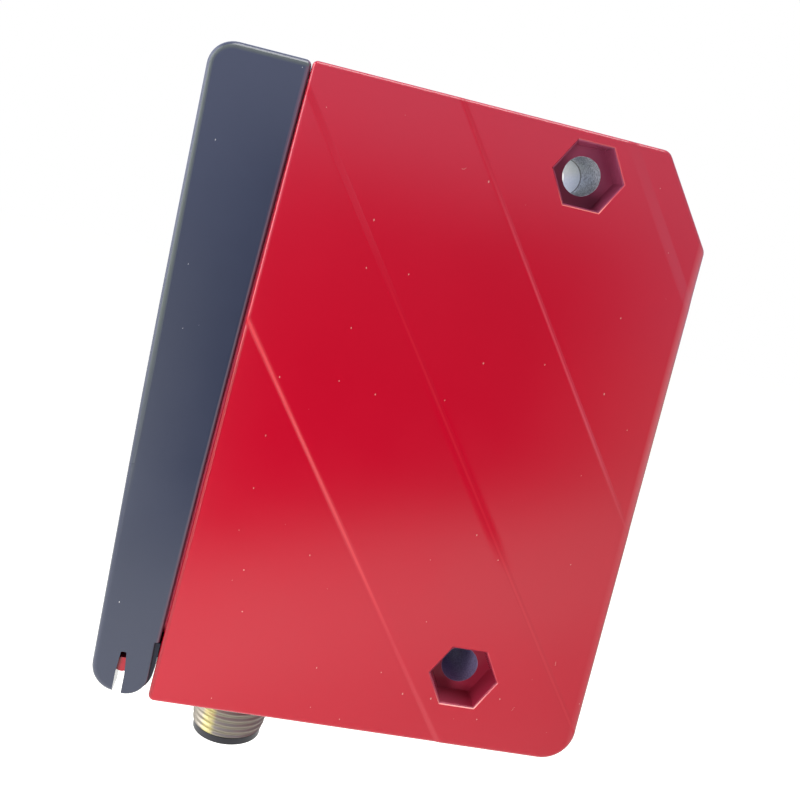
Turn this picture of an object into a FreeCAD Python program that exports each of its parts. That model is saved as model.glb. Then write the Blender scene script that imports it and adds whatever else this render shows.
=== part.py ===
import FreeCAD, Part
import math
import os

# Diffuse photoelectric sensor in a die-cast housing, millimetres.
# X runs from the rear service cover to the optical front, Y across the width, Z up.
# Everything is drawn from the rear face (x = 0), the middle of the width and the
# housing's underside (z = 0). It is kept in the frame of the two fixing holes.

V = FreeCAD.Vector

# Housing
body_height = 90.25
body_depth = 70.45
body_width = 30.0
wall = 2.5
seam_top = 12.95
seam_bottom = 8.25
chamfer_run = 8.5
chamfer_drop = 12.1
toe_radius = 4.8
heel_radius = 0.9
crown_radius = 0.7
chamfer_radius = 1.6
face_edge_radius = 0.5
rear_frame = 7.0

# Fixing holes with a nut pocket at each end
bolt_from_front = 18.8
bolt_from_bottom = 10.75
bolt_from_top = 5.9
bolt_bore = 5.4
pocket_flats = 8.6
pocket_floor_flats = 8.05
pocket_depth = 4.2
pocket_rim = 0.25
boss_wall = 1.5

# Low steps that slant across both side faces: each one's place, its rise and the width of its ramp
step_lean = 35.0
side_steps = ((41.3, 0.11, 0.9), (60.3, -0.08, 0.9), (78.5, -0.08, 0.7), (97.85, -0.12, 1.5))

# Rear cover and its hinge
seam_gap_low = 0.3
seam_gap_high = 0.12
seam_bow = 0.22
cover_setback = 0.3
cover_drop = 0.1
cover_wall = 1.4
cover_corner = 3.5
cover_edge_radius = 0.75
cover_seam_radius = 0.5
cover_bow = 0.28
cover_bow_radius = 3000.0
ear_bottom = 0.35
ear_radius = 3.95
ear_front = 7.85
ear_front_corner = 3.0
ear_front_radius = 0.25
ear_top = 8.65
ear_thickness = 4.0
ear_gap = 0.12
ear_heel_radius = 3.8
ear_setback = 0.5
ear_lip_rear = 5.5
ear_skin = 0.8
slot_width = 0.75
slot_mouth = 1.25
slot_mouth_drop = 0.9
slot_rise = 2.3
hinge_from_rear = 3.95
hinge_from_bottom = 4.3
pivot_radius = 1.05
pivot_clearance = 0.05
pivot_end_gap = 0.1
barrel_gap = 0.4
web_thickness = 2.0
swing_gap = 0.3

# Neck round the control opening, and the panel that closes it
neck_height = 2.0
neck_wall = 1.8
neck_bottom = 9.9
panel_thickness = 2.0
panel_recess = 0.5
panel_seal_thickness = 0.5
panel_fit = 0.15
end_ledge = 7.0
side_ledge = 2.0
corner_radius = 1.5
lug_thickness = 1.4
lug_length = 17.0
lug_height = 8.0
lug_inset = 8.0

# Small screws
screw_radius = 1.0
screw_head_radius = 1.9
screw_head_height = 1.2
screw_fit = 0.08
screw_recess_width = 0.5
screw_recess_reach = 1.2
screw_recess_depth = 0.6
panel_screw_length = 6.5
board_screw_length = 2.9
optics_screw_length = 5.0

# Controls
adjuster_height = 62.0
selector_height = 38.0
spindle_radius = 2.0
spindle_fit = 0.05
panel_hole_fit = 0.15
collar_radius = 3.2
collar_thickness = 1.0
collar_gap = 0.2
knob_radius = 3.6
knob_thickness = 1.5
knob_gap = 0.3
knob_slot_width = 0.8
knob_slot_depth = 0.9
pointer_length = 1.1
spindle_seat = 4.5
control_body_width = 10.0
control_body_length = 8.0

# Window and optics
pane_thickness = 2.0
pane_setback = 0.3
pane_fit = 0.15
window_width = 26.0
window_from_bottom = 8.0
window_from_top = 16.0
window_corner = 2.0
window_seal_thickness = 0.5
window_seal_width = 1.1
flange_thickness = 1.5
flange_ledge_width = 1.0
flange_ledge_thickness = 1.2
optics_fit = 0.15
optics_length = 23.7
optics_clear = 0.5
emitter_lens_radius = 7.0
emitter_from_top = 11.8
lens_edge = 1.6
lens_front_gap = 0.3
emitter_curve = 13.0
receiver_curve = 45.0
receiver_side_wall = 1.8
receiver_end_wall = 2.0
lens_web = 3.2
lens_fit = 0.05
lens_rim = 0.9
emitter_aperture = 2.8
receiver_aperture = 6.4
guide_radius = 1.2
guide_spread = 6.0
guide_from_top = 2.3
guide_gap = 0.3

# Boards and parts on them
board_thickness = 1.6
board_gap = 0.4
led_size = 3.5
led_base = 1.1
led_dome_radius = 1.4
diode_width = 5.0
diode_thickness = 1.2
indicator_size = 1.6
indicator_thickness = 0.7
link_length = 12.0
link_width = 3.0
link_depth = 4.0
optics_board_margin = 0.8
optics_screw_inset = 2.9

# Round plug connector, thread size 12
connector_from_seam = 11.8
thread_radius = 6.0
thread_length = 9.8
lead_in_length = 1.5
lead_in_radius = 5.3
shell_bore = 4.9
shell_hole_fit = 0.1
collar_flange_radius = 7.6
collar_flange_thickness = 1.8
connector_seal_thickness = 0.6
nut_flats = 15.0
nut_thickness = 3.0
nut_grip = 0.8
nut_fit = 0.05
carrier_fit = 0.05
carrier_rim_radius = 5.2
carrier_rim = 1.0
socket_radius = 4.2
socket_depth = 7.5
carrier_rise = 0.6
key_width = 1.1
key_depth = 0.7
pin_radius = 0.5
pin_circle = 2.8
pin_count = 4
pin_setback = 1.2
pin_tail = 2.4
pin_board_fit = 0.05
connector_board_radius = 6.8
connector_board_thickness = 1.2
main_board_bottom_gap = 0.4

# Places that follow from the sizes above
half_width = body_width / 2
bolt_x = body_depth - bolt_from_front
bolt_z_low = bolt_from_bottom
bolt_z_high = body_height - bolt_from_top
bolt_middle = (bolt_z_low + bolt_z_high) / 2
bolt_radius = bolt_bore / 2
boss_radius = pocket_flats / math.sqrt(3) + boss_wall
origin = V(bolt_x, 0, bolt_middle)
beyond = 2 * body_height

seam_lean = math.degrees(math.atan2(seam_top - seam_bottom, body_height))
seam_place = FreeCAD.Placement(V(seam_bottom, 0, 0), FreeCAD.Rotation(V(0, 1, 0), seam_lean))

cover_half = half_width - cover_setback
cover_inner_half = cover_half - cover_wall
cover_top = body_height - cover_drop
ear_inner_half = cover_half - ear_thickness
hinge_x = hinge_from_rear
hinge_z = hinge_from_bottom
barrel_radius = hinge_x - cover_wall - barrel_gap
barrel_half = ear_inner_half - swing_gap
neck_half = cover_inner_half - swing_gap
lean_sine = math.sin(math.radians(seam_lean))
lean_cosine = math.cos(math.radians(seam_lean))
neck_top = (cover_top - cover_wall - swing_gap - neck_height * lean_sine) / lean_cosine

pocket_half = neck_half - neck_wall
pocket_low = neck_bottom + neck_wall
pocket_high = neck_top - neck_wall
panel_outer = panel_recess - neck_height
panel_inner = panel_outer + panel_thickness
panel_ledge = panel_inner + panel_seal_thickness
opening_half = pocket_half - side_ledge
opening_low = pocket_low + end_ledge
opening_high = pocket_high - end_ledge
board_face = opening_half - panel_fit - lug_thickness - board_thickness
lug_heights = (opening_low + lug_inset, opening_high - lug_inset)

pane_seat = body_depth - pane_setback - pane_thickness - window_seal_thickness
flange_seat = pane_seat - flange_thickness
cavity_front = flange_seat - flange_ledge_thickness
window_half = window_width / 2
window_low = window_from_bottom
window_high = body_height - window_from_top
flange_half = window_half - window_seal_width
flange_low = window_low + window_seal_width
flange_high = window_high - window_seal_width
optics_half = flange_half - flange_ledge_width - optics_fit
optics_low = bolt_z_low + boss_radius + optics_clear
optics_high = flange_high - flange_ledge_width - optics_fit
optics_rear = flange_seat - optics_length
lens_front = pane_seat - lens_front_gap
emitter_z = optics_high - emitter_from_top
receiver_low = optics_low + receiver_end_wall
receiver_high = emitter_z - emitter_lens_radius - lens_web
receiver_z = (receiver_low + receiver_high) / 2
receiver_half_height = (receiver_high - receiver_low) / 2
receiver_half_width = optics_half - receiver_side_wall
guide_z = optics_high - guide_from_top
optics_board_rear = optics_rear - board_thickness

connector_x = seam_bottom + connector_from_seam
shell_top = wall + nut_thickness + nut_grip
collar_top = -connector_seal_thickness
collar_bottom = collar_top - collar_flange_thickness
carrier_tip = -thread_length - carrier_rim
carrier_top = shell_top + carrier_rise
connector_board_low = carrier_top
connector_board_high = connector_board_low + connector_board_thickness
main_board_bottom = connector_board_low - main_board_bottom_gap


def block(x0, x1, y0, y1, z0, z1):
    """Box between two opposite corners."""
    return Part.makeBox(x1 - x0, y1 - y0, z1 - z0, V(x0, y0, z0))


def rounded_block(x0, x1, half, z0, z1, radius):
    """Box centred across the width, its four edges along X rounded."""
    shape = block(x0, x1, -half, half, z0, z1)
    along = [e for e in shape.Edges if abs(e.tangentAt(e.FirstParameter).x) > 0.9]
    return shape.makeFillet(radius, along)


def rod(radius, start, end):
    """Round bar from one point to another."""
    return Part.makeCylinder(radius, (end - start).Length, start, end - start)


def cone(radius_start, radius_end, start, end):
    """Tapered round bar from one point to another."""
    return Part.makeCone(radius_start, radius_end, (end - start).Length, start, end - start)


def rounded_outline(corners):
    """Closed outline in the side plane; each corner is x, z and the radius that rounds it."""
    points = [V(x, 0, z) for x, z, radius in corners]
    bends = []
    for index, corner in enumerate(points):
        radius = corners[index][2]
        back = (points[index - 1] - corner).normalize()
        ahead = (points[(index + 1) % len(points)] - corner).normalize()
        half_angle = back.getAngle(ahead) / 2
        reach = radius / math.tan(half_angle)
        inward = (back + ahead).normalize()
        middle = corner + inward * (radius / math.sin(half_angle) - radius)
        bends.append((corner + back * reach, middle, corner + ahead * reach))
    edges = []
    for index, (start, middle, end) in enumerate(bends):
        last = bends[index - 1][2]
        if (start - last).Length > 1e-6:
            edges.append(Part.makeLine(last, start))
        if corners[index][2] > 0:
            edges.append(Part.Arc(start, middle, end).toShape())
    return Part.Wire(edges)


def across(wire, half):
    """Solid made by carrying a side outline across the width, from -half to half."""
    solid = Part.Face(wire).extrude(V(0, 2 * half, 0))
    solid.translate(V(0, -half, 0))
    return solid


def on_seam(shape):
    """Shape drawn on an upright seam, placed on the leaning one."""
    placed = shape.copy()
    placed.Placement = seam_place.multiply(placed.Placement)
    return placed


def seam_x(z):
    """How far forward the seam is at a given height."""
    return seam_bottom + (seam_top - seam_bottom) * z / body_height


def hexagon(flats, x, y, z):
    """Hexagon in a plane of constant y, two of its corners pointing fore and aft."""
    radius = flats / math.sqrt(3)
    angles = [math.radians(60 * step) for step in range(7)]
    return Part.makePolygon([V(x + radius * math.cos(a), y, z + radius * math.sin(a)) for a in angles])


def one_solid(shape):
    """The single solid of a boolean result, with joined faces merged."""
    clean = shape.removeSplitter()
    if len(clean.Solids) != 1:
        raise ValueError(f"{len(clean.Solids)} solids where one was meant")
    return clean.Solids[0]


def keep(name, *solids):
    """Write one sub-part in the frame of the fixing holes."""
    shape = solids[0].copy() if len(solids) == 1 else Part.makeCompound([s.copy() for s in solids])
    shape.translate(-origin)
    shape.exportStep(f"parts/{name}.step")


def body_outline():
    """Side outline of the housing, from the heel round to the crown."""
    chamfer_x = body_depth - chamfer_run
    chamfer_z = body_height - chamfer_drop
    return rounded_outline([
        (seam_bottom, 0, heel_radius),
        (body_depth, 0, toe_radius),
        (body_depth, chamfer_z, chamfer_radius),
        (chamfer_x, body_height, chamfer_radius),
        (seam_top, body_height, crown_radius),
    ])


def side_depth(distance):
    """How far a side face lies under its highest panel, at a distance across the steps."""
    levels = [sum(rise for place, rise, ramp in side_steps[:count]) for count in range(len(side_steps) + 1)]
    passed = sum(place < distance for place, rise, ramp in side_steps)
    return max(levels) - levels[passed]


def side_run(side):
    """Section of one side face across the steps: flats joined by S-shaped ramps of two equal arcs."""
    lean = math.radians(step_lean)
    cross = V(math.cos(lean), 0, math.sin(lean))

    def at(distance, depth):
        return cross * distance + V(0, side * (half_width - depth), 0)

    last = at(-beyond, side_depth(-beyond))
    edges = []
    for place, rise, ramp in side_steps:
        half_ramp = ramp / 2
        before = side_depth(place - half_ramp)
        after = side_depth(place + half_ramp)
        arc_radius = (half_ramp ** 2 + (rise / 2) ** 2) / abs(rise)
        half_turn = math.asin(half_ramp / arc_radius) / 2
        arc_run = arc_radius * math.sin(half_turn)
        arc_fall = math.copysign(arc_radius * (1 - math.cos(half_turn)), after - before)
        start = at(place - half_ramp, before)
        middle = at(place, (before + after) / 2)
        end = at(place + half_ramp, after)
        first_bend = at(place - half_ramp + arc_run, before + arc_fall)
        second_bend = at(place + half_ramp - arc_run, after - arc_fall)
        edges.append(Part.makeLine(last, start))
        edges.append(Part.Arc(start, first_bend, middle).toShape())
        edges.append(Part.Arc(middle, second_bend, end).toShape())
        last = end
    far_end = at(beyond, side_depth(beyond))
    edges.append(Part.makeLine(last, far_end))
    return edges, at(-beyond, side_depth(-beyond)), far_end


def stepped_slab():
    """Slab as wide as the housing, with the slanting steps on both of its sides."""
    lean = math.radians(step_lean)
    along = V(math.sin(lean), 0, -math.cos(lean))
    left, left_start, left_end = side_run(-1)
    right, right_start, right_end = side_run(1)
    ends = [Part.makeLine(left_start, right_start), Part.makeLine(left_end, right_end)]
    section = Part.Wire(Part.__sortEdges__(left + right + ends))
    section.translate(-along * beyond)
    return Part.Face(section).extrude(along * (2 * beyond))


def outer_body():
    """Housing block with slanting steps on its side faces, and the faces' edges rounded."""
    outline = body_outline()
    solid = across(outline, half_width + wall).common(stepped_slab())
    rims = []
    for edge in solid.Edges:
        middle = edge.valueAt((edge.FirstParameter + edge.LastParameter) / 2)
        on_outline = outline.distToShape(Part.Vertex(middle.x, 0, middle.z))[0] < 1e-4
        if on_outline and edge.BoundBox.YLength < wall:
            rims.append(edge)
    return solid.makeFillet(face_edge_radius, rims)


def bolt_boss(z, shelf):
    """Boss round a fixing hole, carried to the floor or the roof at height shelf."""
    centre = V(bolt_x, -half_width, z)
    round_part = rod(boss_radius, centre, centre + V(0, body_width, 0))
    low, high = sorted((z, shelf))
    foot = block(bolt_x - boss_radius, bolt_x + boss_radius, -half_width, half_width, low, high)
    return round_part.fuse(foot)


def body_cavity():
    """Hollow inside the housing, less the bosses of the fixing holes."""
    inner = Part.Face(body_outline()).makeOffset2D(-wall)
    hollow = inner.extrude(V(0, body_width - 2 * wall, 0))
    hollow.translate(V(0, wall - half_width, 0))
    behind = on_seam(block(wall, beyond, -half_width, half_width, -beyond, beyond))
    ahead = block(-beyond, cavity_front, -half_width, half_width, -beyond, beyond)
    frame = on_seam(block(0, rear_frame, -half_width, half_width, neck_bottom, beyond))
    hollow = hollow.common(behind).common(ahead).cut(frame)
    return hollow.cut(bolt_boss(bolt_z_low, 0)).cut(bolt_boss(bolt_z_high, body_height))


def nut_pocket(z, side):
    """Drafted hexagon pocket with a broken rim, sunk from one side face."""
    slope = (pocket_flats - pocket_floor_flats) / pocket_depth
    face = side * half_width
    lean = math.radians(step_lean)
    rim_face = face - side * side_depth(bolt_x * math.cos(lean) + z * math.sin(lean))
    mouth = hexagon(pocket_flats + slope, bolt_x, face + side, z)
    floor = hexagon(pocket_floor_flats, bolt_x, face - side * pocket_depth, z)
    rim_spread = 2 * pocket_rim
    rim_out = hexagon(pocket_flats + 2 * rim_spread, bolt_x, rim_face + side * pocket_rim, z)
    rim_in = hexagon(pocket_flats, bolt_x, rim_face - side * pocket_rim, z)
    pocket = Part.makeLoft([mouth, floor], True, True)
    return pocket.fuse(Part.makeLoft([rim_out, rim_in], True, True))


def hinge_barrel():
    """Barrel and web behind the housing, with a pivot at each end for the cover."""
    reach = cover_half - ear_skin - pivot_end_gap
    root = seam_x(hinge_z) + wall
    barrel = rod(barrel_radius, V(hinge_x, -barrel_half, hinge_z), V(hinge_x, barrel_half, hinge_z))
    pivots = rod(pivot_radius, V(hinge_x, -reach, hinge_z), V(hinge_x, reach, hinge_z))
    web = block(hinge_x, root, -barrel_half, barrel_half, hinge_z, hinge_z + web_thickness)
    return barrel.fuse(pivots).fuse(web)


def panel_screw_places():
    """Where the panel's four screws stand, across the width and up the seam."""
    spread = opening_half - screw_head_radius
    low = (pocket_low + opening_low) / 2
    high = (pocket_high + opening_high) / 2
    return [(y, z) for y in (-spread, spread) for z in (low, high)]


def housing():
    """Die-cast housing: stepped shell, neck, hinge barrel, pockets and openings."""
    neck = rounded_block(-neck_height, rear_frame, neck_half, neck_bottom, neck_top, corner_radius)
    solid = outer_body().fuse(on_seam(neck)).fuse(hinge_barrel())
    pocket = rounded_block(-beyond, panel_ledge, pocket_half, pocket_low, pocket_high, corner_radius)
    through = rear_frame + wall
    opening = rounded_block(-beyond, through, opening_half, opening_low, opening_high, corner_radius)
    pane_recess = rounded_block(pane_seat, beyond, window_half, window_low, window_high, window_corner)
    flange_recess = rounded_block(flange_seat, beyond, flange_half, flange_low, flange_high, window_corner)
    front_half = flange_half - flange_ledge_width
    front_low = flange_low + flange_ledge_width
    front_high = flange_high - flange_ledge_width
    front = rounded_block(cavity_front - wall, beyond, front_half, front_low, front_high, window_corner)
    plug_hole = rod(thread_radius + shell_hole_fit, V(connector_x, 0, -wall), V(connector_x, 0, 2 * wall))
    cuts = [body_cavity(), on_seam(pocket), on_seam(opening), pane_recess, flange_recess, front, plug_hole]
    for y, z in panel_screw_places():
        bottom = V(panel_outer + panel_screw_length + screw_fit, y, z)
        cuts.append(on_seam(rod(screw_radius + screw_fit, V(-beyond, y, z), bottom)))
    for side in (-1, 1):
        cuts.extend(nut_pocket(z, side) for z in (bolt_z_low, bolt_z_high))
    for z in (bolt_z_low, bolt_z_high):
        cuts.append(rod(bolt_radius, V(bolt_x, -body_width, z), V(bolt_x, body_width, z)))
    for cut in cuts:
        solid = solid.cut(cut)
    return one_solid(solid)


def cover_ears():
    """Pair of thick ears in the cover's lower corners; their fronts reach out behind the cover's face."""
    high = ear_top - swing_gap
    outline = rounded_outline([
        (0, ear_bottom, ear_radius),
        (seam_x(ear_bottom) - ear_gap, ear_bottom, ear_heel_radius),
        (seam_x(high) - ear_gap, high, 0),
        (0, high, 0),
    ])
    outer = cover_half - ear_setback
    ears = []
    for start, skin in ((-outer, -cover_half), (ear_inner_half, cover_inner_half)):
        ear = Part.Face(outline).extrude(V(0, outer - ear_inner_half, 0))
        ear.translate(V(0, start, 0))
        ears.append(ear.cut(block(-beyond, ear_lip_rear, skin, skin + cover_wall, -beyond, beyond)))
    return ears


def hinge_slot():
    """Slot through both ears that lets the cover snap over the pivots."""
    slot_top = hinge_z + slot_rise
    slot_half = slot_width / 2
    mouth_half = slot_mouth / 2
    mouth_top = hinge_z - slot_mouth_drop
    return across(rounded_outline([
        (hinge_x - mouth_half, -ear_radius, 0),
        (hinge_x + mouth_half, -ear_radius, 0),
        (hinge_x + mouth_half, mouth_top, 0),
        (hinge_x + slot_half, slot_top, slot_half / 2),
        (hinge_x - slot_half, slot_top, slot_half / 2),
        (hinge_x - mouth_half, mouth_top, 0),
    ]), half_width)


def face_rims(solid, wanted):
    """Edges in the cover's two side faces whose bounding box is a wanted one."""
    rims = []
    for edge in solid.Edges:
        flat = edge.BoundBox.YLength < 1e-6
        if flat and abs(abs(edge.CenterOfMass.y) - cover_half) < 1e-6 and wanted(edge.BoundBox):
            rims.append(edge)
    return rims


def rear_cover():
    """Service cover: a slightly bowed tray with slotted ears that snap over the pivots."""
    middle = (ear_top + cover_top) / 2
    edge_low = seam_x(ear_top) - seam_gap_low
    edge_high = seam_x(cover_top) - seam_gap_high
    outline = rounded_outline([
        (0, ear_bottom, ear_radius),
        (ear_front, ear_bottom, ear_front_corner),
        (ear_front, ear_top, 0),
        (edge_low, ear_top, 0),
        ((edge_low + edge_high) / 2 - seam_bow, middle, cover_bow_radius),
        (edge_high, cover_top, 0),
        (0, cover_top, cover_corner),
        (-cover_bow, middle, cover_bow_radius),
    ])
    solid = across(outline, cover_half).cut(hinge_slot())
    seam_rims = face_rims(solid, lambda box: box.XMin > ear_front and box.ZLength > ear_top)
    solid = solid.makeFillet(cover_seam_radius, seam_rims)
    outer_rims = face_rims(solid, lambda box: box.XMin < cover_wall or box.ZMin > cover_top - 1e-3)
    solid = solid.makeFillet(cover_edge_radius, outer_rims)
    front_rims = face_rims(solid, lambda box: box.XMax > ear_front - 1e-3 and box.ZMin < ear_top - 1e-3)
    solid = solid.makeFillet(ear_front_radius, front_rims)
    tray = across(rounded_outline([
        (cover_wall, -ear_radius, 0),
        (body_depth, -ear_radius, 0),
        (body_depth, cover_top - cover_wall, 0),
        (cover_wall, cover_top - cover_wall, cover_corner - cover_wall),
    ]), cover_inner_half)
    solid = solid.cut(tray).fuse(cover_ears())
    bore_half = cover_half - ear_skin
    bore_radius = pivot_radius + pivot_clearance
    bore = rod(bore_radius, V(hinge_x, -bore_half, hinge_z), V(hinge_x, bore_half, hinge_z))
    return one_solid(solid.cut(bore).cut(hinge_slot()))


def control_panel():
    """Moulded panel that closes the neck, with two lugs that hold the main board."""
    plate = rounded_block(panel_outer, panel_inner, pocket_half - panel_fit, pocket_low + panel_fit,
                          pocket_high - panel_fit, corner_radius)
    lug_high = board_face + board_thickness + lug_thickness
    for z in lug_heights:
        lug = block(panel_inner, panel_inner + lug_length, board_face + board_thickness, lug_high,
                    z - lug_height / 2, z + lug_height / 2)
        start = V(panel_inner + lug_length - lug_height / 2, 0, z)
        hole = rod(screw_radius + screw_fit, start, start + V(0, half_width, 0))
        plate = plate.fuse(lug).cut(hole)
    for y, z in panel_screw_places():
        plate = plate.cut(rod(screw_radius + screw_fit, V(-beyond, y, z), V(beyond, y, z)))
    for z in (adjuster_height, selector_height):
        radius = spindle_radius + panel_hole_fit
        plate = plate.cut(rod(radius, V(panel_outer - wall, 0, z), V(panel_inner + wall, 0, z)))
    return one_solid(on_seam(plate))


def panel_seal():
    """Flat gasket between the panel and its ledge."""
    outer = rounded_block(panel_inner, panel_ledge, pocket_half - panel_fit, pocket_low + panel_fit,
                          pocket_high - panel_fit, corner_radius)
    inner = rounded_block(panel_inner - wall, panel_ledge + wall, opening_half, opening_low, opening_high,
                          corner_radius)
    ring = outer.cut(inner)
    for y, z in panel_screw_places():
        ring = ring.cut(rod(screw_radius + screw_fit, V(-beyond, y, z), V(beyond, y, z)))
    return one_solid(on_seam(ring))


def small_screw(head, direction, length):
    """Pan-head screw: head is the point under the head's middle, direction the way it is driven."""
    shank = rod(screw_radius, head, head + direction * length)
    cap = rod(screw_head_radius, head - direction * screw_head_height, head)
    top = head - direction * screw_head_height
    side = direction.cross(V(0, 0, 1)).normalize()
    other = direction.cross(side)
    solid = shank.fuse(cap)
    for axis in (side, other):
        reach = axis * screw_recess_reach
        width = direction.cross(axis) * (screw_recess_width / 2)
        corners = [top - reach - width, top + reach - width, top + reach + width, top - reach + width]
        mouth = Part.Face(Part.makePolygon(corners + corners[:1]))
        solid = solid.cut(mouth.extrude(direction * screw_recess_depth))
    return one_solid(solid)


def panel_screws():
    """Four screws that hold the panel on its ledge."""
    screws = []
    for y, z in panel_screw_places():
        screws.append(on_seam(small_screw(V(panel_outer, y, z), V(1, 0, 0), panel_screw_length)))
    return screws


def board_screw_places():
    """Where the main board is screwed to the panel's lugs."""
    depth = panel_inner + lug_length - lug_height / 2
    return [seam_place.multVec(V(depth, board_face, z)) for z in lug_heights]


def control_knob(z, pointer):
    """Spindle with a collar inside the panel and a slotted knob outside, on the panel's axis at z."""
    knob_low = panel_outer - knob_gap - knob_thickness
    knob_high = panel_outer - knob_gap
    collar_low = panel_inner + collar_gap
    collar_high = collar_low + collar_thickness
    seat = collar_high + collar_gap
    solid = rod(spindle_radius, V(knob_low, 0, z), V(seat + spindle_seat, 0, z))
    solid = solid.fuse(rod(collar_radius, V(collar_low, 0, z), V(collar_high, 0, z)))
    solid = solid.fuse(rod(knob_radius, V(knob_low, 0, z), V(knob_high, 0, z)))
    half_slot = knob_slot_width / 2
    reach = knob_radius if pointer else knob_radius - pointer_length
    slot_low = z - knob_radius + pointer_length
    slot = block(knob_low, knob_low + knob_slot_depth, -half_slot, half_slot, slot_low, z + reach)
    return one_solid(on_seam(solid.cut(slot)))


def control_body(z):
    """Housing of a rotary control on the main board, with a blind bore for the spindle."""
    seat = panel_inner + 2 * collar_gap + collar_thickness
    half = control_body_width / 2
    solid = block(seat, seat + control_body_length, -half, board_face, z - half, z + half)
    end = V(seat + spindle_seat + collar_gap, 0, z)
    bore = rod(spindle_radius + spindle_fit, V(seat - wall, 0, z), end)
    return one_solid(on_seam(solid.cut(bore)))


def main_board():
    """Main circuit board, upright along the housing, with a tongue that reaches into the neck."""
    rear = seam_x(opening_high) + rear_frame + board_gap
    front = optics_board_rear - screw_head_height - board_gap
    tongue_rear = seam_x(opening_high) + panel_ledge + board_gap
    tongue_low = opening_low + lug_inset / 2
    tongue_high = opening_high - lug_inset / 2
    high = board_face + board_thickness
    solid = block(rear, front, board_face, high, main_board_bottom, opening_high)
    solid = solid.fuse(block(tongue_rear, rear, board_face, high, tongue_low, tongue_high))
    for place in board_screw_places():
        solid = solid.cut(rod(screw_radius + screw_fit, place - V(0, wall, 0), place + V(0, half_width, 0)))
    return one_solid(solid)


def optics_screw_places():
    """Where the optics board is screwed to the optics block, across and up."""
    spread = optics_half - optics_screw_inset
    return [(y, z) for y in (-spread, spread) for z in (optics_low + 2 * optics_screw_inset, emitter_z)]


def optics_board():
    """Board behind the optics block that carries the emitter, the receiver and the indicators."""
    half = optics_half - optics_board_margin
    solid = block(optics_board_rear, optics_rear, -half, half, optics_low + optics_board_margin,
                  optics_high - optics_board_margin)
    for y, z in optics_screw_places():
        solid = solid.cut(rod(screw_radius + screw_fit, V(0, y, z), V(optics_rear, y, z)))
    return one_solid(solid)


def lens_back(curve, half_reach):
    """Back plane of a lens whose curved front leaves the named edge thickness at half_reach."""
    sag = curve - math.sqrt(curve ** 2 - half_reach ** 2)
    return lens_front - sag - lens_edge


def receiver_reach():
    """Distance from the receiver lens's middle to its corner."""
    return math.hypot(receiver_half_width, receiver_half_height)


def receiver_plate(x0, x1, grow):
    """Upright rounded block of the receiver lens's outline, widened by grow."""
    solid = block(x0, x1, -receiver_half_width - grow, receiver_half_width + grow,
                  receiver_z - receiver_half_height - grow, receiver_z + receiver_half_height + grow)
    along = [e for e in solid.Edges if abs(e.tangentAt(e.FirstParameter).x) > 0.9]
    return solid.makeFillet(window_corner, along)


def upright_rectangle(x, half_y, half_z, z):
    """Rectangle in a plane of constant x."""
    lower = [V(x, -half_y, z - half_z), V(x, half_y, z - half_z)]
    upper = [V(x, half_y, z + half_z), V(x, -half_y, z + half_z)]
    return Part.makePolygon(lower + upper + lower[:1])


def optics_block():
    """Black moulding with a flange behind the pane, a light channel for each lens and two guide bores."""
    solid = rounded_block(flange_seat, pane_seat, flange_half - optics_fit, flange_low + optics_fit,
                          flange_high - optics_fit, window_corner)
    box = rounded_block(optics_rear, pane_seat, optics_half, optics_low, optics_high, corner_radius)
    solid = solid.fuse(box)
    emitter_back = lens_back(emitter_curve, emitter_lens_radius)
    receiver_back = lens_back(receiver_curve, receiver_reach())
    emitter_start = V(emitter_back, 0, emitter_z)
    emitter_seat = rod(emitter_lens_radius + lens_fit, emitter_start, V(body_depth, 0, emitter_z))
    emitter_end = emitter_lens_radius - lens_rim
    emitter_channel = cone(emitter_aperture, emitter_end, V(optics_rear, 0, emitter_z), emitter_start)
    receiver_seat = receiver_plate(receiver_back, body_depth, lens_fit)
    small = upright_rectangle(optics_rear, receiver_aperture / 2, receiver_aperture / 2, receiver_z)
    clear_width = receiver_half_width - lens_rim
    clear_height = receiver_half_height - lens_rim
    large = upright_rectangle(receiver_back, clear_width, clear_height, receiver_z)
    receiver_channel = Part.makeLoft([small, large], True, True)
    cuts = [emitter_seat, emitter_channel, receiver_seat, receiver_channel]
    for y in (-guide_spread, guide_spread):
        cuts.append(rod(guide_radius + lens_fit, V(optics_rear, y, guide_z), V(body_depth, y, guide_z)))
    for y, z in optics_screw_places():
        end = V(optics_board_rear + optics_screw_length + screw_fit, y, z)
        cuts.append(rod(screw_radius + screw_fit, V(0, y, z), end))
    for cut in cuts:
        solid = solid.cut(cut)
    return one_solid(solid)


def emitter_lens():
    """Round lens with a domed front."""
    back = lens_back(emitter_curve, emitter_lens_radius)
    barrel = rod(emitter_lens_radius, V(back, 0, emitter_z), V(body_depth, 0, emitter_z))
    dome = Part.makeSphere(emitter_curve, V(lens_front - emitter_curve, 0, emitter_z))
    return one_solid(barrel.common(dome))


def receiver_lens():
    """Large upright lens with a domed front and rounded corners."""
    back = lens_back(receiver_curve, receiver_reach())
    plate = receiver_plate(back, body_depth, 0)
    dome = Part.makeSphere(receiver_curve, V(lens_front - receiver_curve, 0, receiver_z))
    return one_solid(plate.common(dome))


def emitter_led():
    """Light source: square base with a round dome, on the optics board."""
    half = led_size / 2
    base = block(optics_rear, optics_rear + led_base, -half, half, emitter_z - half, emitter_z + half)
    dome = Part.makeSphere(led_dome_radius, V(optics_rear + led_base, 0, emitter_z))
    front = block(optics_rear, body_depth, -half, half, emitter_z - half, emitter_z + half)
    return one_solid(base.fuse(dome.common(front)))


def receiver_diode():
    """Light receiver: flat package on the optics board."""
    half = diode_width / 2
    front = optics_rear + diode_thickness
    return block(optics_rear, front, -half, half, receiver_z - half, receiver_z + half)


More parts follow.
